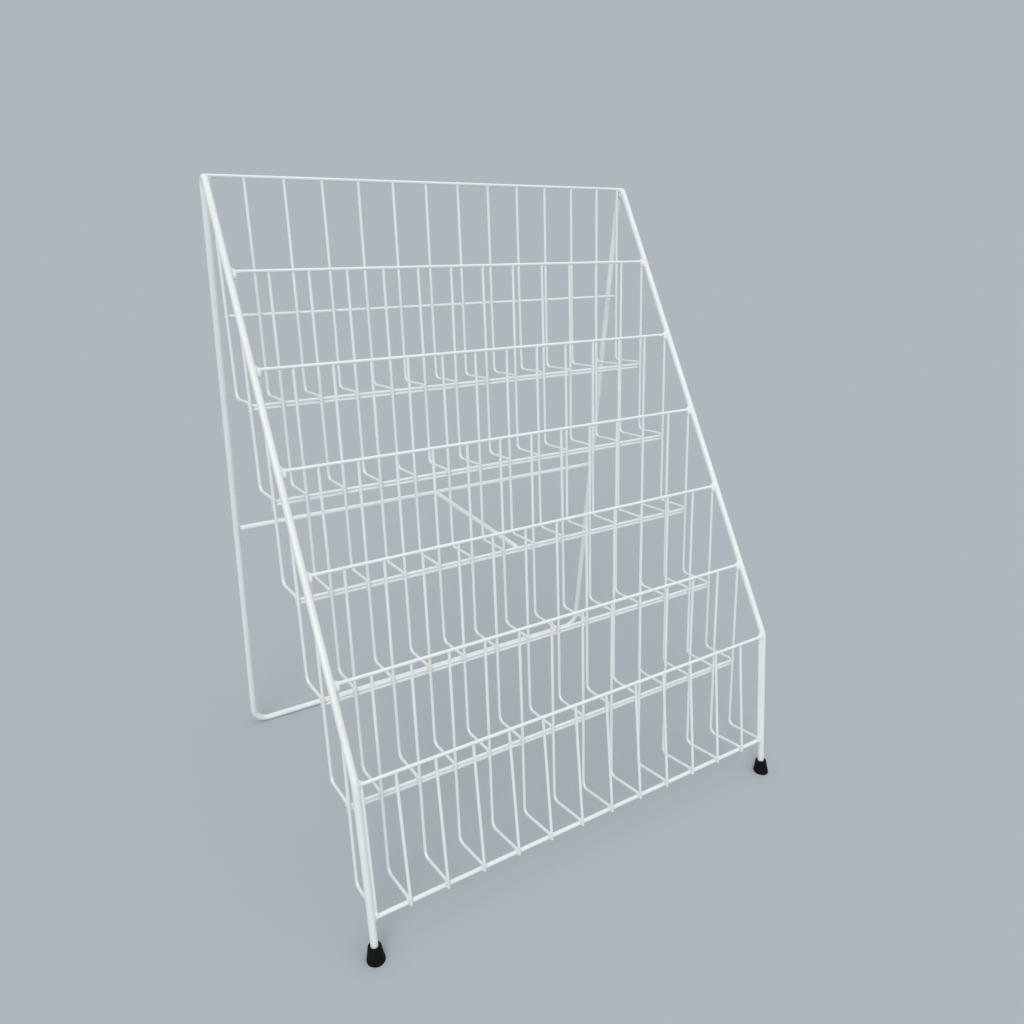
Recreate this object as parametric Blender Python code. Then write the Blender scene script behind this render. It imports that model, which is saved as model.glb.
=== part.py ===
"""Tabletop book rack: six stepped pockets of coated steel wire on a free-standing rod frame.

Blender 4.5: blender --background --python part.py. Metres, +Z up.
The rack stands on z = 0 and faces -Y, and x = 0 is its mirror plane.
Its side view is worked out in (y, z) pairs, from the point where a front leg's axis meets the floor.
"""
import math

import bmesh
import bpy
from mathutils import Matrix, Vector

# Diameters over the coating
ROD_D = 0.0056              # side rods and rear frame
CROSSBAR_D = 0.0050
BRACE_D = 0.0048
BOTTOM_RAIL_D = 0.0035      # front rail of the lowest pocket
RAIL_D = 0.00275            # every other rail
WIRE_D = 0.0025             # lip wires, and the pocket wires with their floors

WELD_GAP = 0.0003           # left between pieces that are welded together
WELD_BITE = 0.0004          # depth to which floor wires sink into their own front rail

# Frame, on the rods' centrelines
FRAME_WIDTH = 0.400
LEG_LENGTH = 0.1414         # front leg, floor to front bend
LEG_LEAN = math.radians(11.0)
RAIL_LEAN = math.radians(35.05)
REAR_LEAN = math.radians(1.25)          # the rear legs lean forwards
FRONT_BEND_R = 0.015
HAIRPIN_INNER_R = 0.0013    # inside of the tight turn at the top of each side rod
HAIRPIN_TAIL = 0.0008       # straight end of the side rod, above its seam with the rear leg
BASE_CORNER_R = 0.015
CROSSBAR_HEIGHT = 0.2173

# Lip rails, up the sloping part of the side rods
TIERS = 6
LOW_LIP_DROP = 0.0019       # front bend down to the lowest lip rail
FIRST_PITCH = 0.0676        # front bend up to the second lip rail
TIER_PITCH = 0.0772
TOP_PITCH = 0.0866          # last lip rail to the point of the hairpin's V
TOP_BAR_BACK = 0.0019       # top bar behind the middle of the hairpin

# Pockets
LIP_DROP = 0.0975           # lip rail to pocket floor, down the front wires
WIRE_LEAN = math.radians(7.85)
LOW_FLOOR_RISE = math.radians(12.3)     # the lowest floor is steeper than the rest
BOTTOM_RAIL_UP = 0.0338     # floor to bottom front rail, up the leg
POCKET_BEND_R = 0.005
INNER_WIRES = 12
END_SPACE = 0.0253          # outermost wire to its neighbour
LIP_WIRE_TAIL = 0.0016      # inner lip wires past the centre of the bottom rail
FRONT_RAIL_TAIL = 0.0006    # front rails past the axes of their outermost wires
BRACE_TIER = 4              # the pocket whose front rail the centre brace holds

# Rubber feet, along the leg
FOOT_HEIGHT = 0.0116
FOOT_TOP_D = 0.0100
FOOT_BASE_D = 0.0140
FOOT_SOLE = 0.0045          # rubber under the end of the rod
FOOT_EDGE = 0.0008
FOOT_STEPS = 32

ROD_SIDES, WIRE_SIDES = 12, 8
ROD_FACET = math.radians(21)            # longest turn in one facet of a bend
WIRE_FACET = math.radians(31)


# Collections, materials and placing

for old in list(bpy.data.objects):
    bpy.data.objects.remove(old, do_unlink=True)

rack = bpy.data.collections.new("book_rack")
cutters = bpy.data.collections.new("book_rack_cutters")
for collection in (rack, cutters):
    bpy.context.scene.collection.children.link(collection)
root = bpy.data.objects.new("book_rack_origin", None)
rack.objects.link(root)


def finish(name, hex_colour, roughness):
    """A Principled material from an sRGB hex colour."""
    channels = [int(hex_colour[i:i + 2], 16) / 255 for i in (0, 2, 4)]
    linear = [c / 12.92 if c <= 0.04045 else ((c + 0.055) / 1.055) ** 2.4 for c in channels]
    material = bpy.data.materials.new(name)
    material.use_nodes = True
    shader = material.node_tree.nodes["Principled BSDF"]
    shader.inputs["Base Color"].default_value = (*linear, 1)
    shader.inputs["Roughness"].default_value = roughness
    shader.inputs["Metallic"].default_value = 0
    return material


def white_coat(name):
    return finish(name + "_coat", "E9EEEC", 0.34)


def place(obj, collection=rack, x=0.0):
    """Links an object to its collection, under the rack's origin."""
    collection.objects.link(obj)
    obj.parent = root
    obj.location.x = x
    return obj


# Building blocks

def up(lean):
    """Unit vector, in (y, z), up a line that leans back from the vertical."""
    return Vector((math.sin(lean), math.cos(lean)))


def rear(lean):
    """Unit vector, in (y, z), square to that line and towards the back."""
    return Vector((math.cos(lean), -math.sin(lean)))


def bent(corners, radii, facet):
    """A path through the corners, with an arc of the given radius at each inner corner."""
    path = [corners[0]]
    for before, corner, after, radius in zip(corners, corners[1:], corners[2:], radii):
        inward, outward = (before - corner).normalized(), (after - corner).normalized()
        half_angle = inward.angle(outward) / 2
        tangent = radius / math.tan(half_angle)
        centre = corner + (inward + outward).normalized() * radius / math.sin(half_angle)
        start = corner + inward * tangent - centre
        across = corner + outward * tangent - centre
        turn = math.pi - 2 * half_angle
        steps = math.ceil(turn / facet)
        for step in range(steps + 1):
            a = turn * step / steps
            arm = start * math.sin(turn - a) + across * math.sin(a)
            path.append(centre + arm / math.sin(turn))
    return path + [corners[-1]]


def side_view(points):
    """(y, z) pairs as points of the plane x = 0."""
    return [Vector((0, y, z)) for y, z in points]


def rod(name, path, diameter, sides, collection=rack, x=0.0):
    """A round bar along a path, as a curve with closed ends."""
    curve = bpy.data.curves.new(name, "CURVE")
    curve.dimensions = "3D"
    curve.bevel_depth = diameter / 2
    curve.bevel_resolution = sides // 2 - 2
    curve.use_fill_caps = True
    spline = curve.splines.new("POLY")
    spline.points.add(len(path) - 1)
    for point, co in zip(spline.points, path):
        point.co = (*co, 1)
    curve.materials.append(white_coat(name))
    return place(bpy.data.objects.new(name, curve), collection, x)


def cross_rail(name, at, half_length, diameter, sides=WIRE_SIDES, collection=rack):
    """A straight bar across the rack, through the (y, z) point given."""
    ends = [Vector((side * half_length, *at)) for side in (-1, 1)]
    return rod(name, ends, diameter, sides, collection)


def as_mesh(obj):
    """The object's evaluated shape as a new mesh with its end caps welded on; the curve goes."""
    bpy.context.view_layer.update()
    evaluated = obj.evaluated_get(bpy.context.evaluated_depsgraph_get())
    mesh = bpy.data.meshes.new_from_object(evaluated)
    solid = bmesh.new()
    solid.from_mesh(mesh)
    bmesh.ops.remove_doubles(solid, verts=solid.verts, dist=0.00001)
    solid.to_mesh(mesh)
    solid.free()
    world = obj.matrix_world.copy()
    name, collection = obj.name, obj.users_collection[0]
    bpy.data.objects.remove(obj)
    mesh_object = place(bpy.data.objects.new(name, mesh), collection)
    mesh_object.matrix_world = world
    return mesh_object


# Side view of the frame

front_bend = up(LEG_LEAN) * LEG_LENGTH
rail_length = FIRST_PITCH + (TIERS - 2) * TIER_PITCH + TOP_PITCH
hairpin_point = front_bend + up(RAIL_LEAN) * rail_length
hairpin_r = HAIRPIN_INNER_R + ROD_D / 2
half_turn = (RAIL_LEAN + REAR_LEAN) / 2
hairpin_centre = hairpin_point - up(RAIL_LEAN - half_turn) * hairpin_r / math.sin(half_turn)
down_leg = -up(-REAR_LEAN)
side_rod_end = hairpin_point + down_leg * (hairpin_r / math.tan(half_turn) + HAIRPIN_TAIL)


def rear_leg_at(height):
    """The (y, z) point of the rear legs' centreline at a height above the floor."""
    return hairpin_point + down_leg * (hairpin_point[1] - height) / math.cos(REAR_LEAN)


rear_leg_top = side_rod_end + down_leg * WELD_GAP
base_bar = rear_leg_at(ROD_D / 2)

# The origin lies below the middle of the rack's depth
rack_back, rack_front = base_bar[0] + ROD_D / 2, -FOOT_BASE_D / 2
root.location.y = -(rack_back + rack_front) / 2

inner_face = FRAME_WIDTH / 2 - ROD_D / 2            # x of a side rod's inner side
rail_half = inner_face - WELD_GAP
outer_wire_x = inner_face - WELD_GAP - WIRE_D / 2
wire_pitch = 2 * (outer_wire_x - END_SPACE) / (INNER_WIRES - 1)
inner_xs = [(i - (INNER_WIRES - 1) / 2) * wire_pitch for i in range(INNER_WIRES)]
wire_xs = [-outer_wire_x, *inner_xs, outer_wire_x]

# Side view of the tiers. lips[n] is the lip rail of pocket n. The last entry is the top bar,
# flush with the tops of the hairpins.
lips = {1: front_bend - up(LEG_LEAN) * LOW_LIP_DROP}
for n in range(2, TIERS + 1):
    lips[n] = front_bend + up(RAIL_LEAN) * (FIRST_PITCH + (n - 2) * TIER_PITCH)
lips[TIERS + 1] = hairpin_centre + Vector((TOP_BAR_BACK, hairpin_r + (ROD_D - RAIL_D) / 2))

# Rails lie behind the upright wires, and each front rail lies under its own floor wires
behind_wires = WIRE_D / 2 + RAIL_D / 2 + WELD_GAP
floor_on_rail = WIRE_D / 2 + RAIL_D / 2 - WELD_BITE
front_rail_drop = LIP_DROP + floor_on_rail
mid_rail_drop = front_rail_drop + RAIL_D + WELD_GAP
bottom_rail = up(LEG_LEAN) * BOTTOM_RAIL_UP

# The inner lip wires pass just in front of the bottom rail
to_bottom = bottom_rail - lips[1]
clearance = WIRE_D / 2 + BOTTOM_RAIL_D / 2 + WELD_GAP
lip_wire_lean = math.atan2(-to_bottom[0], -to_bottom[1]) + math.asin(clearance / to_bottom.length)


# Frame: two side rods, the rear frame, its crossbar and the centre brace

leg_end = up(LEG_LEAN) * FOOT_SOLE
side_rod_path = bent([leg_end, front_bend, hairpin_point, side_rod_end],
                     [FRONT_BEND_R, hairpin_r], ROD_FACET)
for side, x in (("left", -FRAME_WIDTH / 2), ("right", FRAME_WIDTH / 2)):
    rod("side_rod_" + side, side_view(side_rod_path), ROD_D, ROD_SIDES, x=x)

leg_x = FRAME_WIDTH / 2
rear_corners = [Vector((x, *at)) for x, at in ((-leg_x, rear_leg_top), (-leg_x, base_bar),
                                               (leg_x, base_bar), (leg_x, rear_leg_top))]
rod("rear_frame", bent(rear_corners, [BASE_CORNER_R] * 2, ROD_FACET), ROD_D, ROD_SIDES)

crossbar = rear_leg_at(CROSSBAR_HEIGHT)
cross_rail("rear_crossbar", crossbar, rail_half, CROSSBAR_D, ROD_SIDES)

braced_rail = (lips[BRACE_TIER] - up(WIRE_LEAN) * front_rail_drop + rear(WIRE_LEAN) * behind_wires)
brace_way = (braced_rail - crossbar).normalized()
brace_ends = [crossbar + brace_way * (CROSSBAR_D / 2 + WELD_GAP),
              braced_rail - brace_way * (RAIL_D / 2 + WELD_GAP)]
rod("centre_brace", side_view(brace_ends), BRACE_D, ROD_SIDES)


# Rails across the front: the top bar, the lip rails and the mid rails

cross_rail("top_bar", lips[TIERS + 1], rail_half, RAIL_D)
for n in range(1, TIERS + 1):
    cross_rail(f"lip_rail_{n}", lips[n], rail_half, RAIL_D)
    mid_rail = lips[n + 1] - up(WIRE_LEAN) * mid_rail_drop + rear(WIRE_LEAN) * behind_wires
    cross_rail(f"mid_rail_{n}", mid_rail, outer_wire_x, RAIL_D)


# Pocket wires: each hangs from a rail, bends forward into the floor and ends on a front rail.
# One pocket's wires and its front rail are welded into a single basket.

def pocket_wire_path(n):
    """One wire of pocket n: down the pocket's back, round the bend and forward along its floor."""
    top = lips[n + 1] - up(WIRE_LEAN) * (RAIL_D / 2 + WELD_GAP)
    if n == 1:
        rise, wall_lean = LOW_FLOOR_RISE, lip_wire_lean
        front_rail, rail_d = bottom_rail, BOTTOM_RAIL_D
    else:
        rise, wall_lean, rail_d = WIRE_LEAN, WIRE_LEAN, RAIL_D
        front_rail = lips[n] - up(wall_lean) * front_rail_drop + rear(wall_lean) * behind_wires
    over_rail = front_rail + up(rise) * (WIRE_D / 2 + rail_d / 2 - WELD_BITE)
    floor_way = rear(rise)
    to_corner = (lips[n + 1] - over_rail).dot(rear(WIRE_LEAN)) / floor_way.dot(rear(WIRE_LEAN))
    corner = over_rail + floor_way * to_corner
    # the floor stops short of the upright wires in front of it
    wall_gap = WIRE_D / 2 + WELD_GAP - (over_rail - lips[n]).dot(rear(wall_lean))
    front = over_rail + floor_way * wall_gap / floor_way.dot(rear(wall_lean))
    return front_rail, bent([top, corner, front], [POCKET_BEND_R], WIRE_FACET)


for n in range(1, TIERS + 1):
    name = f"pocket_wires_{n}"
    front_rail, path = pocket_wire_path(n)
    if n == 1:
        rail = cross_rail("front_rail_1", front_rail, rail_half, BOTTOM_RAIL_D, collection=cutters)
    else:
        half_length = outer_wire_x + FRONT_RAIL_TAIL
        rail = cross_rail(f"front_rail_{n}", front_rail, half_length, RAIL_D, collection=cutters)
    rail = as_mesh(rail)
    rail.hide_render = True
    rail.display_type = "WIRE"

    wires = as_mesh(rod(name, side_view(path), WIRE_D, WIRE_SIDES))
    single = wires.data.copy()
    row = bmesh.new()
    for x in wire_xs:
        known = len(row.verts)
        row.from_mesh(single)
        row.verts.ensure_lookup_table()
        bmesh.ops.translate(row, vec=(x, 0, 0), verts=row.verts[known:])
    row.to_mesh(wires.data)
    row.free()
    bpy.data.meshes.remove(single)

    weld = wires.modifiers.new("weld_to_front_rail", "BOOLEAN")
    weld.operation = "UNION"
    weld.solver = "EXACT"
    weld.object = rail
    wires.data.shade_smooth()
    wires.data.set_sharp_from_angle(angle=math.radians(50))


# Lip wires of the lowest pocket. The two outermost follow the legs and end on the bottom rail's
# floor wires, and the rest pass in front of that rail.

lip_top = RAIL_D / 2 + WELD_GAP
wire_stack = BOTTOM_RAIL_D / 2 + WIRE_D - WELD_BITE + WELD_GAP
to_tail = math.sqrt(to_bottom.length ** 2 - clearance ** 2) + LIP_WIRE_TAIL
for i, x in enumerate(wire_xs, start=1):
    if i in (1, len(wire_xs)):
        lean, length = LEG_LEAN, to_bottom.length - wire_stack
    else:
        lean, length = lip_wire_lean, to_tail
    ends = [lips[1] - up(lean) * lip_top, lips[1] - up(lean) * length]
    rod(f"lip_wire_{i:02d}", side_view(ends), WIRE_D, WIRE_SIDES, x=x)


# Rubber feet: a tapered cap turned about the leg's axis, then cut flat on the floor

def rubber_foot(name, x):
    taper = (FOOT_BASE_D - FOOT_TOP_D) / 2 / FOOT_HEIGHT
    below = FOOT_BASE_D / 2                         # turned past the floor, before the cut
    hole_r, hole_end = ROD_D / 2 + WELD_GAP, FOOT_SOLE - WELD_GAP
    rim_r = FOOT_TOP_D / 2
    profile = [(0, hole_end), (hole_r, hole_end), (hole_r, FOOT_HEIGHT),
               (rim_r - FOOT_EDGE / 2, FOOT_HEIGHT), (rim_r, FOOT_HEIGHT - FOOT_EDGE / 2),
               (FOOT_BASE_D / 2 + taper * below, -below), (0, -below)]
    cap = bmesh.new()
    ring = [cap.verts.new((r, 0, z)) for r, z in profile]
    edges = [cap.edges.new(pair) for pair in zip(ring, ring[1:])]
    bmesh.ops.spin(cap, geom=ring + edges, cent=(0, 0, 0), axis=(0, 0, 1), angle=math.tau,
                   steps=FOOT_STEPS, use_merge=True)
    bmesh.ops.remove_doubles(cap, verts=cap.verts, dist=0.00001)
    bmesh.ops.rotate(cap, verts=cap.verts, matrix=Matrix.Rotation(-LEG_LEAN, 3, "X"))
    cut = bmesh.ops.bisect_plane(cap, geom=cap.verts[:] + cap.edges[:] + cap.faces[:],
                                 plane_co=(0, 0, 0), plane_no=(0, 0, 1), clear_inner=True)
    outline = [e for e in cut["geom_cut"] if isinstance(e, bmesh.types.BMEdge)]
    bmesh.ops.contextual_create(cap, geom=outline)
    bmesh.ops.bevel(cap, geom=outline, offset=FOOT_EDGE, segments=2, profile=0.5, affect="EDGES")
    bmesh.ops.recalc_face_normals(cap, faces=cap.faces)
    mesh = bpy.data.meshes.new(name)
    cap.to_mesh(mesh)
    cap.free()
    mesh.materials.append(finish(name + "_rubber", "131415", 0.6))
    mesh.shade_smooth()
    mesh.set_sharp_from_angle(angle=math.radians(40))
    return place(bpy.data.objects.new(name, mesh), x=x)


rubber_foot("rubber_foot_left", -FRAME_WIDTH / 2)
rubber_foot("rubber_foot_right", FRAME_WIDTH / 2)
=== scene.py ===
import math
import random

import bmesh
import bpy
from mathutils import Matrix, Vector


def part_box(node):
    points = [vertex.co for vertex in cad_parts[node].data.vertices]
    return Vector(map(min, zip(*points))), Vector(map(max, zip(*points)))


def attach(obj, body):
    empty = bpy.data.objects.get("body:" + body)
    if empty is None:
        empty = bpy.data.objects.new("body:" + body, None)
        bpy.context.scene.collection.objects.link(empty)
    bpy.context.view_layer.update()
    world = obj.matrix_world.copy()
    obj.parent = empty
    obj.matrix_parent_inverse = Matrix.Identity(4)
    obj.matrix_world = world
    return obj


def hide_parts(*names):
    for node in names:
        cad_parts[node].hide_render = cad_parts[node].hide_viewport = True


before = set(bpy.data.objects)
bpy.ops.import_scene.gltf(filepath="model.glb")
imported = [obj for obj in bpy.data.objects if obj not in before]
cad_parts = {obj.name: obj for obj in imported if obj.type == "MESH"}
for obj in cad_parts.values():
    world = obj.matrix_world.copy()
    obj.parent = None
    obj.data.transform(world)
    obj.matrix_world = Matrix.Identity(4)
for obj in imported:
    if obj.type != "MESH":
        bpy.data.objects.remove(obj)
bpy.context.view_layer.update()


# Side rods
# Each is one mild steel bar: the front leg, a bend, the sloping rail and a tight turn at the top.
# It is bent cold, welded into the frame, and powder coated white with everything else.

MM = 0.001
ROD_R = 2.8 * MM
FRAME_HALF_WIDTH = 200 * MM             # to the rods' centrelines
LEG_FOOT_Y = -149.96 * MM               # where a front leg's line meets the floor
LEG_LENGTH = 141.4 * MM
LEG_LEAN = math.radians(11.0)
RAIL_LENGTH = 463.0 * MM                # front bend to the point of the turn at the top
RAIL_LEAN = math.radians(35.05)
REAR_LEAN = math.radians(1.25)          # the rear legs lean forwards
FRONT_BEND_R = 15 * MM
TOP_TURN_R = 4.1 * MM
TOP_TURN_TAIL = 0.8 * MM
ROD_IN_FOOT = 4.5 * MM                  # the rod stops short of the floor, inside its foot
ROD_CUT_ROUNDING = 0.4 * MM
SEAM_ROUNDING = 0.3 * MM
ROD_SIDES = 32
LONGEST_SPAN = 12 * MM                  # between two rings of a straight run
BEND_STEP = math.radians(7)             # between two rings of a bend
TURN_WEB_DOWN = 12.8 * MM               # turn point to the weld that fills the crotch
TURN_WEB_SIZE = (2.5 * MM, 3.9 * MM, 3.4 * MM)
BEAD_SEGMENTS, BEAD_RINGS = 12, 8
PLAIN_WELD = 0.7                        # how far the coat shows the weld under it, from 0 to 1
SMOOTH_WELD = 0.1


def side(point, x=0.0):
    """A (y, z) pair, measured from the leg's foot, as a point of the rack."""
    return Vector((x, LEG_FOOT_Y + point[0], point[1]))


def up(lean):
    """Unit vector, in (y, z), up a line that leans back from the vertical."""
    return Vector((math.sin(lean), math.cos(lean)))


def bent(corners, radii):
    """The line of a bar through the corners, with an arc at each inner one."""
    line = [corners[0]]
    for before, corner, after, radius in zip(corners, corners[1:], corners[2:], radii):
        inward, outward = (before - corner).normalized(), (after - corner).normalized()
        half_angle = inward.angle(outward) / 2
        centre = corner + (inward + outward).normalized() * radius / math.sin(half_angle)
        start = corner + inward * radius / math.tan(half_angle) - centre
        end = corner + outward * radius / math.tan(half_angle) - centre
        turn = math.pi - 2 * half_angle
        steps = math.ceil(turn / BEND_STEP)
        for step in range(steps + 1):
            angle = turn * step / steps
            arm = start * math.sin(turn - angle) + end * math.sin(angle)
            line.append(centre + arm / math.sin(turn))
    return line + [corners[-1]]


def closely(line):
    """The same line with points close together along its straight runs."""
    points = [line[0]]
    for here, there in zip(line, line[1:]):
        spans = math.ceil((there - here).length / LONGEST_SPAN)
        points += [here.lerp(there, span / spans) for span in range(1, spans + 1)]
    return points


def new_shape():
    """An empty mesh whose points carry how far the coat there is tinted greyer: over a weld bead,
    and as painted shade in the creases of the fillets.
    """
    shape = bmesh.new()
    shape.verts.layers.float.new("weld")
    return shape


def bar(shape, points, radius, sides, caps=(0.0, 0.0)):
    """Draws a round bar out along the points. Each of the caps is the rounding of a cut end."""
    steps = [(b - a).normalized() for a, b in zip(points, points[1:])]
    ways = [steps[0], *((a + b).normalized() for a, b in zip(steps, steps[1:])), steps[-1]]
    square = ways[0].to_track_quat("Z", "X").to_matrix().to_4x4()
    ring = bmesh.ops.create_circle(shape, segments=sides, radius=radius,
                                   matrix=Matrix.Translation(points[0]) @ square)["verts"]
    rings = [ring]
    for here, there, way, next_way in zip(points, points[1:], ways, ways[1:]):
        rim = {e for v in ring for e in v.link_edges if e.other_vert(v) in ring}
        drawn = bmesh.ops.extrude_edge_only(shape, edges=list(rim))["geom"]
        ring = [v for v in drawn if isinstance(v, bmesh.types.BMVert)]
        bend = way.rotation_difference(next_way).to_matrix()
        bmesh.ops.rotate(shape, cent=here, matrix=bend, verts=ring)
        bmesh.ops.translate(shape, vec=there - here, verts=ring)
        rings.append(ring)
    for ring, rounding in zip((rings[0], rings[-1]), caps):
        cap = bmesh.ops.contextual_create(shape, geom=ring)["faces"]
        if rounding:
            bmesh.ops.bevel(shape, geom=cap[0].edges[:], offset=rounding, segments=3,
                            profile=0.5, affect="EDGES", material=-1)
    return rings


def bead(shape, at, normal, size, weld=PLAIN_WELD):
    """A drop of weld under the coat, its size given along x, across and along the normal."""
    turn = Vector(normal).to_track_quat("Z", "Y").to_matrix().to_4x4()
    place = Matrix.Translation(at) @ turn @ Matrix.Diagonal((*size, 1))
    made = bmesh.ops.create_uvsphere(shape, u_segments=BEAD_SEGMENTS, v_segments=BEAD_RINGS,
                                     radius=1, matrix=place)
    layer = shape.verts.layers.float["weld"]
    for v in made["verts"]:
        v[layer] = weld


def linear(hex_colour):
    """An sRGB hex colour as a linear one."""
    channels = [int(hex_colour[i:i + 2], 16) / 255 for i in (0, 2, 4)]
    return [c / 12.92 if c <= 0.04045 else ((c + 0.055) / 1.055) ** 2.4 for c in channels] + [1]


def add(tree, kind, inputs, **settings):
    """Adds a node with its settings. An input is a number, a colour or an output to link."""
    node = tree.nodes.new("ShaderNode" + kind)
    for name, value in settings.items():
        setattr(node, name, value)
    for name, value in inputs.items():
        if isinstance(value, bpy.types.NodeSocket):
            tree.links.new(value, node.inputs[name])
        else:
            node.inputs[name].default_value = value
    return node


# Polyester powder coat, baked: a white skin of about 0.1 mm with a satin gloss and a faint
# orange-peel wave, drawn deeper than the real one so that it shows. Over a weld bead the coat lies
# thinner and rougher, and looks a little greyer. The same greyer tint on the fillets, where two
# pieces meet, is painted shade in the crease between them.

COAT_WHITE, COAT_SHADE, COAT_WELD_AND_SHADE = "EDF1F0", "E6EAE9", "CCC8C5"
COAT_CLOUD = 40 * MM                    # width of the patches of slightly unlike white and gloss
CLOUD_STRENGTH = 0.35
WHITE_UP_TO, SHADE_FROM = 0.08, 0.28    # places on the ramp, whose end is the greyer coat over a weld bead and the painted shade in the fillets' creases
PEEL_WIDTH, PEEL_DEPTH = 1.8 * MM, 0.08 * MM
SPATTER_WIDTH, SPATTER_DEPTH = 0.6 * MM, 0.12 * MM
COAT_ROUGHNESS = (0.27, 0.37)
COAT_IOR = 1.5
COAT_CREASE = math.radians(60)          # a sharper edge than this stays crisp

powder_coat = bpy.data.materials.new("powder_coat_white")
powder_coat.use_nodes = True
tree = powder_coat.node_tree
skin = tree.nodes["Principled BSDF"]
on_rack = add(tree, "TexCoord", {}).outputs["Object"]
weld_and_shade_here = add(tree, "Attribute", {}, attribute_name="weld").outputs["Fac"]
batch = add(tree, "TexNoise", {"Vector": on_rack, "Scale": 1 / COAT_CLOUD, "Detail": 2.0})
spatter = add(tree, "TexNoise", {"Vector": on_rack, "Scale": 1 / SPATTER_WIDTH, "Detail": 2.0})
peel = add(tree, "TexNoise", {"Vector": on_rack, "Scale": 1 / PEEL_WIDTH, "Detail": 1.0})
# The weld layer greys the coat: over weld beads a real mark, on the fillets painted shade in the
# creases.
thin_coat_and_shade = add(tree, "Math", {0: weld_and_shade_here, 1: spatter.outputs["Fac"]}, operation="MULTIPLY")
shade = add(tree, "Math", {0: batch.outputs["Fac"], 1: CLOUD_STRENGTH,
                            2: thin_coat_and_shade.outputs[0]}, operation="MULTIPLY_ADD")
tint = add(tree, "ValToRGB", {"Fac": shade.outputs[0]})
tint.color_ramp.elements[0].color = linear(COAT_WHITE)
tint.color_ramp.elements[0].position = WHITE_UP_TO
tint.color_ramp.elements[1].color = linear(COAT_WELD_AND_SHADE)
tint.color_ramp.elements[1].position = 1.0
middle = tint.color_ramp.elements.new(SHADE_FROM)
middle.color = linear(COAT_SHADE)
gloss = add(tree, "MapRange", {"Value": batch.outputs["Fac"], "To Min": COAT_ROUGHNESS[0],
                               "To Max": COAT_ROUGHNESS[1]})
wave = add(tree, "Bump", {"Height": peel.outputs["Fac"], "Strength": 0.6,
                          "Distance": PEEL_DEPTH})
bumps = add(tree, "Bump", {"Height": thin_coat_and_shade.outputs[0], "Strength": 0.8,
                           "Distance": SPATTER_DEPTH, "Normal": wave.outputs["Normal"]})
tree.links.new(tint.outputs["Color"], skin.inputs["Base Color"])
tree.links.new(gloss.outputs["Result"], skin.inputs["Roughness"])
tree.links.new(bumps.outputs["Normal"], skin.inputs["Normal"])
skin.inputs["IOR"].default_value = COAT_IOR


def coated(shape, node):
    """Finishes a mesh as a coated steel piece that stands for its CAD node."""
    bmesh.ops.recalc_face_normals(shape, faces=shape.faces)
    mesh = bpy.data.meshes.new("coated_" + node)
    shape.to_mesh(mesh)
    shape.free()
    mesh.materials.append(powder_coat)
    mesh.shade_smooth()
    mesh.set_sharp_from_angle(angle=COAT_CREASE)
    piece = bpy.data.objects.new("coated_" + node, mesh)
    bpy.context.scene.collection.objects.link(piece)
    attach(piece, "root")
    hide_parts(node)


front_bend = up(LEG_LEAN) * LEG_LENGTH
turn_point = front_bend + up(RAIL_LEAN) * RAIL_LENGTH
half_turn = (RAIL_LEAN + REAR_LEAN) / 2
into_turn = -up(RAIL_LEAN - half_turn)              # from the point down between the two bars
turn_centre = turn_point + into_turn * TOP_TURN_R / math.sin(half_turn)
down_leg = -up(-REAR_LEAN)
rod_end = turn_point + down_leg * (TOP_TURN_R / math.tan(half_turn) + TOP_TURN_TAIL)

for name, x in (("side_rod_left", -FRAME_HALF_WIDTH), ("side_rod_right", FRAME_HALF_WIDTH)):
    rod = new_shape()
    corners = [up(LEG_LEAN) * ROD_IN_FOOT, front_bend, turn_point, rod_end]
    line = bent([side(c, x) for c in corners], [FRONT_BEND_R, TOP_TURN_R])
    bar(rod, closely(line), ROD_R, ROD_SIDES, caps=(ROD_CUT_ROUNDING, SEAM_ROUNDING))
    crotch = side(turn_point + into_turn * TURN_WEB_DOWN, x)
    bead(rod, crotch, (0, *into_turn), TURN_WEB_SIZE, SMOOTH_WELD)
    coated(rod, name)


# Rear frame
# Two rear legs and the base bar, one bar of the same steel bent to a U. The legs' tops are
# butt welded under the side rods' ends, where a fine seam stays in sight.

BASE_CORNER_R = 15 * MM


def rear_leg_at(height, x):
    """A point of a rear leg's centreline."""
    return side(turn_point + down_leg * (turn_point[1] - height) / math.cos(REAR_LEAN), x)


rear_frame = new_shape()
corners = [side(rod_end, -FRAME_HALF_WIDTH), rear_leg_at(ROD_R, -FRAME_HALF_WIDTH),
           rear_leg_at(ROD_R, FRAME_HALF_WIDTH), side(rod_end, FRAME_HALF_WIDTH)]
line = bent(corners, [BASE_CORNER_R, BASE_CORNER_R])
bar(rear_frame, closely(line), ROD_R, ROD_SIDES, caps=(SEAM_ROUNDING, SEAM_ROUNDING))
coated(rear_frame, "rear_frame")


# Crossbar and centre brace
# A 5 mm bar is cut square and butt welded between the rear legs, with its beads on top. A 4.8 mm
# bar is welded to its middle and to the front rail of the fourth pocket.

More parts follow.
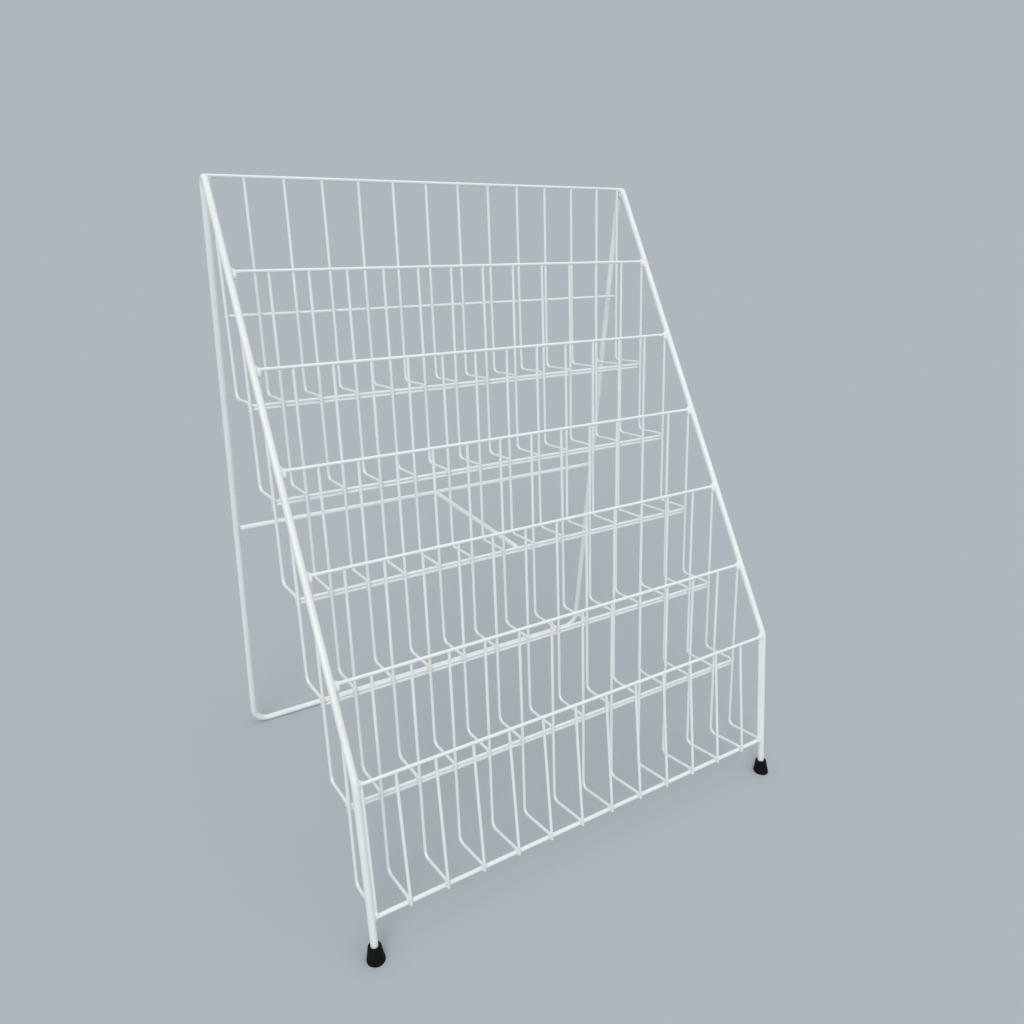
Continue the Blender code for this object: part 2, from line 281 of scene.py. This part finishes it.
CROSSBAR_R = 2.5 * MM
CROSSBAR_ROUNDING = 0.35 * MM
CROSSBAR_BEAD = (1.7 * MM, 1.9 * MM, 1.9 * MM)
CROSSBAR_BEAD_AT = Vector((0, 1.2 * MM, 1.3 * MM))      # behind and above the bar's middle
BRACE_R = 2.4 * MM
BRACE_ROUNDING = 0.5 * MM
BRACE_FILLET = (1.4 * MM, 0.2 * MM)     # along the crossbar, and hardly round it
BRACE_BEAD = (3.3 * MM, 1.5 * MM, 1.3 * MM)
BRACE_BEAD_BACK = 1.2 * MM              # from the rail's middle
BAR_SIDES = 28
CUT_GAP = 0.15 * MM                     # left open beside the bead of a butt weld
ROD_FACE = FRAME_HALF_WIDTH - ROD_R     # x of a side rod's inner side
ACROSS = Vector((1, 0, 0))
SEAT_STEPS = 5                          # rings that a welded end's fillet is drawn with
SEAT_SPACING = 0.3 * MM                 # between them, before they are set on the neighbour
SEAT_REACH = 0.97                       # how far round the neighbour, as a share of its radius
SEAT_WELD_AND_SHADE = 0.4                         # how far the fillet is tinted greyer, at most: painted shade in the crease where the pieces meet


def middle_of(node):
    """Centre of a CAD node's box."""
    low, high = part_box(node)
    return (low + high) / 2


def with_seats(points, welded=(True, True)):
    """Adds the points that a fillet takes to the welded ends of a line."""
    for end_is_welded in welded:
        if end_is_welded:
            step = (points[1] - points[0]).normalized() * SEAT_SPACING
            points[1:1] = [points[0] + step * (count + 1) for count in range(SEAT_STEPS + 1)]
        points.reverse()
    return points


def seat(shape, rings, on, axis, radius, along, across, bend=None):
    """Turns a bar's first rings into the weld fillet between its end and a round neighbour.

    The neighbour's centreline runs through the point `on` along `axis`. The fillet spreads over
    it as an ellipse, by `along` on its length and by `across` round it. A `bend` is the corner
    where the neighbour turns, with its way beyond. The first ring is sunk half way to the
    neighbour's middle, which hides its cap.
    """
    layer = shape.verts.layers.float["weld"]
    first, last = (sum((v.co for v in ring), Vector()) / len(ring)
                   for ring in (rings[0], rings[SEAT_STEPS + 1]))
    way = (last - first).normalized()
    round_way = axis.cross(way).normalized()
    base = first + way * (on - first).dot(way)
    for step, ring in enumerate(rings[:SEAT_STEPS + 2]):
        angle = max(step - 1, 0) / SEAT_STEPS * math.pi / 2
        centre = sum((v.co for v in ring), Vector()) / len(ring)
        for v in ring:
            out = v.co - centre
            way_out = out.normalized()
            long, wide = out.length + along, out.length + across
            edge = long * wide / math.hypot(wide * way_out.dot(axis), long * way_out.dot(round_way))
            size = edge - out.length
            grown = base + out + way_out * size * (1 - math.sin(angle))
            off = min(abs((grown - on).dot(round_way)), SEAT_REACH * radius)
            height = math.sqrt(radius ** 2 - off ** 2) + size * (1 - math.cos(angle))
            if bend:
                past_corner = max((grown - bend[0]).dot(axis), 0)
                grown += (bend[1] - axis) * past_corner
            v.co = grown + way * (height if step else height / 2)
            # The greyer tint on the fillet is painted shade in the crease between the two pieces.
            v[layer] = SEAT_WELD_AND_SHADE * math.sin(2 * angle)


crossbar = new_shape()
crossbar_at = middle_of("rear_crossbar")
reach = ROD_FACE - CUT_GAP
ends = [Vector((x, crossbar_at.y, crossbar_at.z)) for x in (-reach, reach)]
bar(crossbar, closely(ends), CROSSBAR_R, BAR_SIDES, caps=(CROSSBAR_ROUNDING, CROSSBAR_ROUNDING))
for x in (-ROD_FACE, ROD_FACE):
    bead(crossbar, crossbar_at + CROSSBAR_BEAD_AT + ACROSS * x, (0, 0, 1), CROSSBAR_BEAD)
coated(crossbar, "rear_crossbar")

# Rails and wires, whose sizes the brace's lower end already needs
RAIL_R = 1.375 * MM
WIRE_R = 1.25 * MM
WIRE_LEAN = math.radians(7.85)
LIP_DROP = 97.5 * MM                    # lip rail to floor, down the front wires
FLOOR_BITE = 0.4 * MM                   # floor wires into their front rail
PRESSED = 0.2 * MM                      # upright wires into the rails behind them
BOTTOM_RAIL_UP = 33.8 * MM              # floor to the bottom rail, up the leg
LOWEST, HIGHEST = 1, 6                  # pockets
POCKETS = range(LOWEST, HIGHEST + 1)
BRACED_POCKET = 4

lips = {n: middle_of(f"lip_rail_{n}") for n in POCKETS}
lips[HIGHEST + 1] = middle_of("top_bar")


def behind(lean):
    """Unit vector, in (y, z), towards the back and square to a line that leans back."""
    return Vector((math.cos(lean), -math.sin(lean)))


def front_rail_at(n):
    """Centre of the front rail of pocket n, under the ends of its floor wires."""
    if n == LOWEST:
        return side(up(LEG_LEAN) * BOTTOM_RAIL_UP)
    drop, back = LIP_DROP + WIRE_R + RAIL_R - FLOOR_BITE, WIRE_R + RAIL_R - PRESSED
    return lips[n] + Vector((0, *(behind(WIRE_LEAN) * back - up(WIRE_LEAN) * drop)))


brace = new_shape()
braced_rail = front_rail_at(BRACED_POCKET)
brace_way = (braced_rail - crossbar_at).normalized()
points = with_seats(closely([crossbar_at, braced_rail - brace_way * RAIL_R]), (True, False))
rings = bar(brace, points, BRACE_R, BAR_SIDES, caps=(0, BRACE_ROUNDING))
seat(brace, rings, crossbar_at, ACROSS, CROSSBAR_R, *BRACE_FILLET)
bead(brace, braced_rail - brace_way * BRACE_BEAD_BACK, brace_way, BRACE_BEAD)
coated(brace, "centre_brace")


# Top bar and lip rails
# Straight lengths of 2.75 mm wire across the front of the pockets, each butt welded between the
# side rods. The top bar closes the frame, flush with the tops of the side rods.

RAIL_SIDES = 20
SIDE_FILLET = (4.6 * MM, 1.1 * MM)      # along the side rod and round it
BEND_FILLET = (5.4 * MM, 1.0 * MM)      # on the front bend, where the weld is run on
TOP_FILLET = (1.6 * MM, 0.1 * MM)
BURIED = 1.0 * MM                       # how deep an end starts inside the rod


def rail_between_rods(shape, at, radius, rod_way, fillet, rod_at=None, bend=None):
    """A straight bar across the rack, welded at both ends to the side of a rod.

    The rod runs along `rod_way`, in (y, z), through the bar's own middle or through `rod_at`.
    """
    reach = ROD_FACE + BURIED
    ends = [Vector((x, at.y, at.z)) for x in (-reach, reach)]
    rings = bar(shape, with_seats(closely(ends)), radius, RAIL_SIDES)
    on = (rod_at or at).copy()
    for x, end in ((-FRAME_HALF_WIDTH, rings), (FRAME_HALF_WIDTH, rings[::-1])):
        on.x = x
        seat(shape, end, on, Vector((0, *rod_way)), ROD_R, *fillet, bend)


rod_bend = (side(front_bend), Vector((0, *up(RAIL_LEAN))))
for n in POCKETS:
    rail = new_shape()
    if n == LOWEST:
        rail_between_rods(rail, lips[n], RAIL_R, up(LEG_LEAN), BEND_FILLET, bend=rod_bend)
    else:
        rail_between_rods(rail, lips[n], RAIL_R, up(RAIL_LEAN), SIDE_FILLET)
    coated(rail, f"lip_rail_{n}")

top_bar = new_shape()
top_bar_at = lips[HIGHEST + 1]
round_turn = math.asin((top_bar_at.y - side(turn_centre).y) / TOP_TURN_R)
on_turn = side(turn_centre + up(round_turn) * TOP_TURN_R)
rail_between_rods(top_bar, top_bar_at, RAIL_R, (1, 0), TOP_FILLET, on_turn)
coated(top_bar, "top_bar")


# Mid rails
# The lower rail of each touching pair, and one more behind the highest pocket, of 2.75 mm wire
# spot welded behind the upright wires. A rail ends on the outermost ones, and the coat rounds
# its cut ends.

CUT_ROUNDING = 0.45 * MM
RAIL_TAIL = 0.6 * MM                    # past the middle of the outermost wires
WIRE_IN_ROD = 0.05 * MM                 # the outermost wires touch the side rods
OUTER_X = ROD_FACE - WIRE_R + WIRE_IN_ROD
PAIR_COAT_R = 0.5 * MM                  # coat that runs into the groove between two rails
PAIR_COAT_SIDES = 10

to_pair = Vector((0, *up(WIRE_LEAN))) * RAIL_R
for n in POCKETS:
    alone = n == HIGHEST
    at = middle_of(f"mid_rail_{n}") if alone else front_rail_at(n + 1) - 2 * to_pair
    rail = new_shape()
    reach = ACROSS * (OUTER_X + RAIL_TAIL)
    ends = [at - reach, at + reach]
    bar(rail, closely(ends), RAIL_R, RAIL_SIDES, caps=(CUT_ROUNDING, CUT_ROUNDING))
    if not alone:
        bar(rail, [end + to_pair for end in ends], PAIR_COAT_R, PAIR_COAT_SIDES)
    coated(rail, f"mid_rail_{n}")


# Pocket wires
# Fourteen 2.5 mm wires hang behind each pocket from the rail above it. They pass in front of the
# rails at its back, bend forward into its floor and end on its front rail. Each is one bent
# wire, spot welded in a press wherever it crosses a rail.

WIRE_SIDES = 18
POCKET_BEND_R = 5 * MM
LOW_FLOOR_RISE = math.radians(12.3)
INNER_WIRES = 12
END_SPACE = 25.3 * MM                   # outermost wire to its neighbour
CAD_GAP = 0.3 * MM                      # from the outermost solid wires to the side rods
BOTTOM_RAIL_R = 1.75 * MM
WIRE_FILLET = (1.0 * MM, 0.1 * MM)      # along the lip rail, and hardly round it
LEG_FILLET = (4.2 * MM, 1.0 * MM)       # at the ends of the bottom rail
SPOT = (1.85 * MM, 1.85 * MM, 0.9 * MM)
CORNER_WELD = (2.25 * MM, 1.8 * MM, 3.4 * MM)   # round the top of an outermost wire
CORNER_WELD_DOWN = 2.4 * MM             # from the middle of the rail
SWAY, BOW = 0.35 * MM, 0.30 * MM        # hand-set wires are never quite even
HAND_SEED = 11

pitch = 2 * (ROD_FACE - CAD_GAP - WIRE_R - END_SPACE) / (INNER_WIRES - 1)
inner_xs = [(i - (INNER_WIRES - 1) / 2) * pitch for i in range(INNER_WIRES)]
wire_xs = [-OUTER_X, *inner_xs, OUTER_X]
scatter = random.Random(HAND_SEED)


def row_of(shape, single, high, length):
    """Copies one wire to each place in its row. An inner one sways and bows a little."""
    for x in wire_xs:
        known = len(shape.verts)
        shape.from_mesh(single)
        shape.verts.ensure_lookup_table()
        inner = x in inner_xs
        sway = scatter.uniform(-SWAY, SWAY) if inner else 0
        bow = scatter.uniform(-BOW, BOW) if inner else 0
        for v in shape.verts[known:]:
            down = min(max((high - v.co.z) / length, 0), 1)
            v.co.x += x + sway * down + bow * math.sin(math.pi * down)
    bpy.data.meshes.remove(single)


for n in POCKETS:
    top = lips[n + 1]
    rail_at = front_rail_at(n)
    rail_r = BOTTOM_RAIL_R if n == LOWEST else RAIL_R
    rise = LOW_FLOOR_RISE if n == LOWEST else WIRE_LEAN
    floor_way, floor_up = Vector((0, *behind(rise))), Vector((0, *up(rise)))
    wall_way = Vector((0, *behind(WIRE_LEAN)))
    on_rail = rail_at + floor_up * (WIRE_R + rail_r - FLOOR_BITE)
    corner = on_rail + floor_way * (top - on_rail).dot(wall_way) / floor_way.dot(wall_way)
    low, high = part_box(f"pocket_wires_{n}")
    front = on_rail - floor_way * (on_rail.y - low.y - WIRE_R * math.sin(rise)) / floor_way.y

    wire = new_shape()
    points = with_seats(closely(bent([top, corner, front], [POCKET_BEND_R])), (True, False))
    rings = bar(wire, points, WIRE_R, WIRE_SIDES, caps=(0, CUT_ROUNDING))
    seat(wire, rings, top, ACROSS, RAIL_R, *WIRE_FILLET)
    bead(wire, rail_at + floor_up * rail_r, floor_up, SPOT)
    crossed = [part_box(f"mid_rail_{n}")[0].z + RAIL_R]
    if n < HIGHEST:
        crossed.append(front_rail_at(n + 1).z)
    for height in crossed:
        on_wall = top + (corner - top) * ((top.z - height) / (top.z - corner.z))
        bead(wire, on_wall + wall_way * WIRE_R, wall_way, SPOT)
    single = bpy.data.meshes.new("wire")
    wire.to_mesh(single)
    wire.free()

    row = new_shape()
    row_of(row, single, high.z, high.z - low.z)
    if n < HIGHEST:
        between = Vector((0, *up((WIRE_LEAN + RAIL_LEAN) / 2)))
        for x in (-OUTER_X, OUTER_X):
            at = top - between * CORNER_WELD_DOWN
            at.x = x
            bead(row, at, between, CORNER_WELD, SMOOTH_WELD)
    if n == LOWEST:
        rail_between_rods(row, rail_at, rail_r, up(LEG_LEAN), LEG_FILLET)
    else:
        reach = OUTER_X + RAIL_TAIL
        ends = [Vector((x, rail_at.y, rail_at.z)) for x in (-reach, reach)]
        bar(row, closely(ends), rail_r, RAIL_SIDES, caps=(CUT_ROUNDING, CUT_ROUNDING))
    coated(row, f"pocket_wires_{n}")


# Lip wires
# Fourteen straight 2.5 mm wires close the front of the lowest pocket. The inner ones are spot
# welded to the front of the bottom rail and stop just below it. The two outermost lie along the
# legs, where the coat bridges the groove.

INNER_END_UP = 0.3 * MM                 # middle of a slanting cut end over its lowest edge
OUTER_END_DOWN = 0.9 * MM               # the outermost are run down onto the bottom rail
GROOVE_COAT_R = 1.15 * MM
GROOVE_COAT_IN = 0.1 * MM               # from the wire's outer side
GROOVE_COAT_SIDES = 12

bottom_rail = front_rail_at(LOWEST)
for i, x in enumerate(wire_xs, start=1):
    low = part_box(f"lip_wire_{i:02d}")[0]
    inner = x in inner_xs
    top = lips[LOWEST].copy()
    way = bottom_rail - top
    if inner:
        clearance = WIRE_R + BOTTOM_RAIL_R - PRESSED
        forward = math.asin(clearance / way.length)
        way = Matrix.Rotation(-forward, 3, "X") @ way
    drop = top.z - low.z + (-INNER_END_UP if inner else OUTER_END_DOWN)
    foot = top + way * drop / -way.z
    top.x, foot.x = x, x
    if inner:
        foot.x += scatter.uniform(-SWAY, SWAY)
    wire = new_shape()
    points = with_seats(closely([top, foot]), (True, False))
    rings = bar(wire, points, WIRE_R, WIRE_SIDES, caps=(0, CUT_ROUNDING))
    seat(wire, rings, top, ACROSS, RAIL_R, *WIRE_FILLET)
    if inner:
        way = (foot - top).normalized()
        near = top + way * (bottom_rail - top).dot(way)
        inward = Vector((0, bottom_rail.y - near.y, bottom_rail.z - near.z)).normalized()
        bead(wire, near + inward * WIRE_R, inward, SPOT)
    else:
        groove = ACROSS * math.copysign(WIRE_R - GROOVE_COAT_IN, x)
        bar(wire, [top + groove, foot + groove], GROOVE_COAT_R, GROOVE_COAT_SIDES)
    coated(wire, f"lip_wire_{i:02d}")


# Rubber feet
# A moulded black rubber cap is pushed on the end of each front leg. It widens to its base, which
# is flat on the table although the leg leans.

FOOT_HEIGHT = 11.6 * MM
FOOT_TOP_R = 5.0 * MM
FOOT_BASE_R = 7.0 * MM
FOOT_EDGE = 0.6 * MM                    # rounding round the sole
BORE_PLAY = 0.05 * MM
BORE_R = ROD_R + BORE_PLAY
BORE_BOTTOM = 4.4 * MM
MOUTH_WIDTH, MOUTH_DEPTH = 0.35 * MM, 0.5 * MM
RIM = ((0.55, 0), (0.12, 0.22), (0, 0.8))       # mm in from the top radius, and mm down
FLARE = ((5.5, 8.0), (6.0, 5.0), (6.5, 2.6), (6.8, 1.0))        # mm: radius and height
FLARE_UNDER = 0.3 * MM                  # the flare ends just below the middle of the sole
CUT_AWAY = 5 * MM                       # length below the floor, which is cut off for the sole
FOOT_SIDES = 48
SAME_PLACE = 0.01 * MM                  # points closer than this are one
FOOT_CREASE = math.radians(50)

# Natural rubber compound filled with carbon black, moulded: nearly matt, with the fine grain of
# the mould and a little dust in it.

RUBBER_BLACK, RUBBER_DUSTY = "080809", "141415"
GRAIN_WIDTH, GRAIN_DEPTH = 0.35 * MM, 0.06 * MM
DUST_WIDTH = 1.6 * MM
RUBBER_ROUGHNESS = (0.60, 0.75)
RUBBER_SHINE = 0.15

rubber = bpy.data.materials.new("moulded_black_rubber")
rubber.use_nodes = True
tree = rubber.node_tree
skin = tree.nodes["Principled BSDF"]
on_foot = add(tree, "TexCoord", {}).outputs["Object"]
grain = add(tree, "TexNoise", {"Vector": on_foot, "Scale": 1 / GRAIN_WIDTH, "Detail": 3.0})
dust = add(tree, "TexNoise", {"Vector": on_foot, "Scale": 1 / DUST_WIDTH, "Detail": 4.0})
tint = add(tree, "ValToRGB", {"Fac": dust.outputs["Fac"]})
tint.color_ramp.elements[0].color = linear(RUBBER_BLACK)
tint.color_ramp.elements[0].position = 0.50
tint.color_ramp.elements[1].color = linear(RUBBER_DUSTY)
tint.color_ramp.elements[1].position = 0.80
matt = add(tree, "MapRange", {"Value": dust.outputs["Fac"], "To Min": RUBBER_ROUGHNESS[0],
                              "To Max": RUBBER_ROUGHNESS[1]})
grained = add(tree, "Bump", {"Height": grain.outputs["Fac"], "Strength": 0.5,
                             "Distance": GRAIN_DEPTH})
tree.links.new(tint.outputs["Color"], skin.inputs["Base Color"])
tree.links.new(matt.outputs["Result"], skin.inputs["Roughness"])
tree.links.new(grained.outputs["Normal"], skin.inputs["Normal"])
skin.inputs["Specular IOR Level"].default_value = RUBBER_SHINE


def foot_profile():
    """(radius, height) pairs from the bottom of the bore, over the rim and down to the base."""
    rim = [(FOOT_TOP_R - inward * MM, FOOT_HEIGHT - down * MM) for inward, down in RIM]
    flare = [(radius * MM, height * MM) for radius, height in FLARE]
    return [(0, BORE_BOTTOM), (BORE_R, BORE_BOTTOM), (BORE_R, FOOT_HEIGHT - MOUTH_DEPTH),
            (BORE_R + MOUTH_WIDTH, FOOT_HEIGHT), *rim, *flare,
            (FOOT_BASE_R, -FLARE_UNDER), (FOOT_BASE_R, -CUT_AWAY), (0, -CUT_AWAY)]


for name, x in (("rubber_foot_left", -FRAME_HALF_WIDTH), ("rubber_foot_right", FRAME_HALF_WIDTH)):
    cap = bmesh.new()
    ring = [cap.verts.new((r, 0, z)) for r, z in foot_profile()]
    edges = [cap.edges.new(pair) for pair in zip(ring, ring[1:])]
    bmesh.ops.spin(cap, geom=ring + edges, cent=(0, 0, 0), axis=(0, 0, 1), angle=math.tau,
                   steps=FOOT_SIDES, use_merge=True)
    bmesh.ops.remove_doubles(cap, verts=cap.verts, dist=SAME_PLACE)
    bmesh.ops.recalc_face_normals(cap, faces=cap.faces)
    bmesh.ops.rotate(cap, verts=cap.verts, matrix=Matrix.Rotation(-LEG_LEAN, 3, "X"))
    cut = bmesh.ops.bisect_plane(cap, geom=cap.verts[:] + cap.edges[:] + cap.faces[:],
                                 plane_co=(0, 0, 0), plane_no=(0, 0, 1), clear_inner=True)
    outline = [e for e in cut["geom_cut"] if isinstance(e, bmesh.types.BMEdge)]
    bmesh.ops.contextual_create(cap, geom=outline)
    bmesh.ops.bevel(cap, geom=outline, offset=FOOT_EDGE, segments=3, profile=0.5,
                    affect="EDGES", material=-1)
    bmesh.ops.translate(cap, vec=side((0, 0), x), verts=cap.verts)
    mesh = bpy.data.meshes.new("moulded_" + name)
    cap.to_mesh(mesh)
    cap.free()
    mesh.materials.append(rubber)
    mesh.shade_smooth()
    mesh.set_sharp_from_angle(angle=FOOT_CREASE)
    foot = bpy.data.objects.new("moulded_" + name, mesh)
    bpy.context.scene.collection.objects.link(foot)
    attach(foot, "root")
    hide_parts(name)


# Studio
# A plain pale floor that runs out of sight into the same colour, even light from all round, and
# two wide soft lamps: the key from the front left and a weaker one from high overhead.

FLOOR_COLOUR = "AEB8BC"
FLOOR_REACH = 60                        # metres
WORLD_LIGHT = 0.62

floor_shape = bmesh.new()
bmesh.ops.create_grid(floor_shape, x_segments=1, y_segments=1, size=FLOOR_REACH)
floor_mesh = bpy.data.meshes.new("floor")
floor_shape.to_mesh(floor_mesh)
floor_shape.free()
floor = bpy.data.objects.new("floor", floor_mesh)
bpy.context.scene.collection.objects.link(floor)
floor_paint = bpy.data.materials.new("floor_paint")
floor_paint.use_nodes = True
floor_skin = floor_paint.node_tree.nodes["Principled BSDF"]
floor_skin.inputs["Base Color"].default_value = linear(FLOOR_COLOUR)
floor_skin.inputs["Roughness"].default_value = 1.0
floor_skin.inputs["Specular IOR Level"].default_value = 0.0
floor_mesh.materials.append(floor_paint)

world = bpy.data.worlds.new("studio")
bpy.context.scene.world = world
world.use_nodes = True
tree = world.node_tree
tree.nodes.clear()
path = add(tree, "LightPath", {})
mirrored = add(tree, "Math", {0: path.outputs["Is Camera Ray"], 1: path.outputs["Is Glossy Ray"]},
               operation="ADD")
seen = add(tree, "Math", {0: mirrored.outputs[0], 1: path.outputs["Is Transmission Ray"]},
           operation="ADD", use_clamp=True)
lit = add(tree, "Background", {"Color": (1, 1, 1, 1), "Strength": WORLD_LIGHT})
shown = add(tree, "Background", {"Color": linear(FLOOR_COLOUR), "Strength": 1.0})
either = add(tree, "MixShader", {0: seen.outputs[0], 1: lit.outputs[0], 2: shown.outputs[0]})
add(tree, "OutputWorld", {"Surface": either.outputs[0]})

# Each lamp: bearing from the front and height in degrees, strength, and spread in degrees. With
# the light from all round, the two light the floor to just the colour that it is written in.
LAMPS = (("key_lamp", -42, 36, 1.13, 34), ("top_lamp", 60, 74, 0.56, 60))
for name, bearing, height, strength, spread in LAMPS:
    lamp = bpy.data.lights.new(name, "SUN")
    lamp.energy, lamp.angle = strength, math.radians(spread)
    stand = bpy.data.objects.new(name, lamp)
    stand.rotation_euler = (math.radians(90 - height), 0, math.radians(bearing))
    bpy.context.scene.collection.objects.link(stand)

# The camera stands where the photograph was taken from, in metres and degrees.
CAMERA_AT = Vector((-0.35038, -0.53068, 0.52477))
CAMERA_AZIMUTH, CAMERA_TILT, CAMERA_ROLL = (math.radians(a) for a in (-33.198, 23.143, 2.6517))
LENS_MM, SENSOR_MM = 28.164, 36.0
NEAREST = 10 * MM

lens = bpy.data.cameras.new("photo_camera")
lens.lens, lens.sensor_width, lens.clip_start = LENS_MM, SENSOR_MM, NEAREST
camera = bpy.data.objects.new("photo_camera", lens)
turned = (Matrix.Rotation(CAMERA_AZIMUTH, 4, "Z")
          @ Matrix.Rotation(math.pi / 2 - CAMERA_TILT, 4, "X")
          @ Matrix.Rotation(CAMERA_ROLL, 4, "Z"))
camera.matrix_world = Matrix.Translation(CAMERA_AT) @ turned
bpy.context.scene.collection.objects.link(camera)
bpy.context.scene.camera = camera
bpy.context.scene.view_settings.view_transform = "Standard"

bpy.context.view_layer.update()
